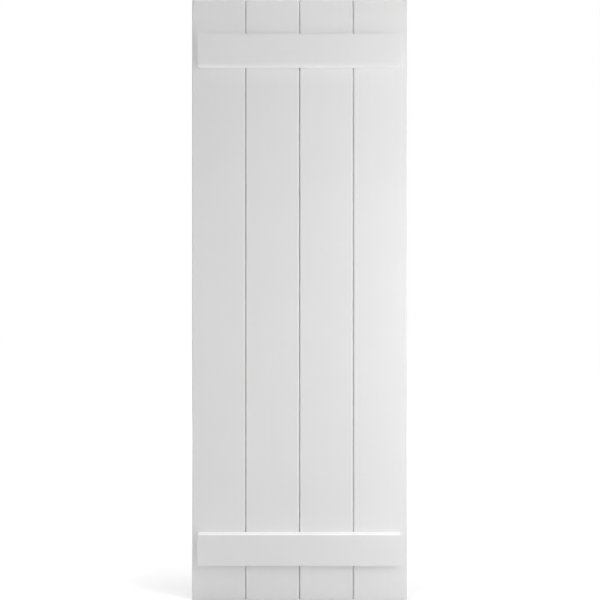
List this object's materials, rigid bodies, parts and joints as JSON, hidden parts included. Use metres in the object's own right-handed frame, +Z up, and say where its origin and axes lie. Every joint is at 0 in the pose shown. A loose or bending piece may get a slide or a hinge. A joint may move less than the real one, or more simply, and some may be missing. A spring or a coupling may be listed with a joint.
{
  "type": "board and batten shutter",
  "caption": "Fixed exterior window shutter of upright tongue-and-groove boards with V-joints, held by a batten across the front near each end; its flat back lies on a wall.",
  "frame": {"origin": "centre of the back, on the plane that lies against the wall", "axes": "+Z up along the boards, +X to the right as seen from the front, +Y out of the back into the wall; the battens face -Y"},
  "size_m": [0.5462, 0.0381, 1.524],
  "materials": {
    "board_pvc": "white cellular PVC with a satin skin, milled edges and sawn ends",
    "batten_pvc": "white cellular PVC with a satin skin, milled edges and sawn ends",
    "screw_steel": "plain stainless screw heads in the back"
  },
  "bodies": {
    "root": {"board_1": "board_pvc", "board_2": "board_pvc", "board_3": "board_pvc", "board_4": "board_pvc", "top_batten": "batten_pvc", "bottom_batten": "batten_pvc"}
  },
  "joints": []
}
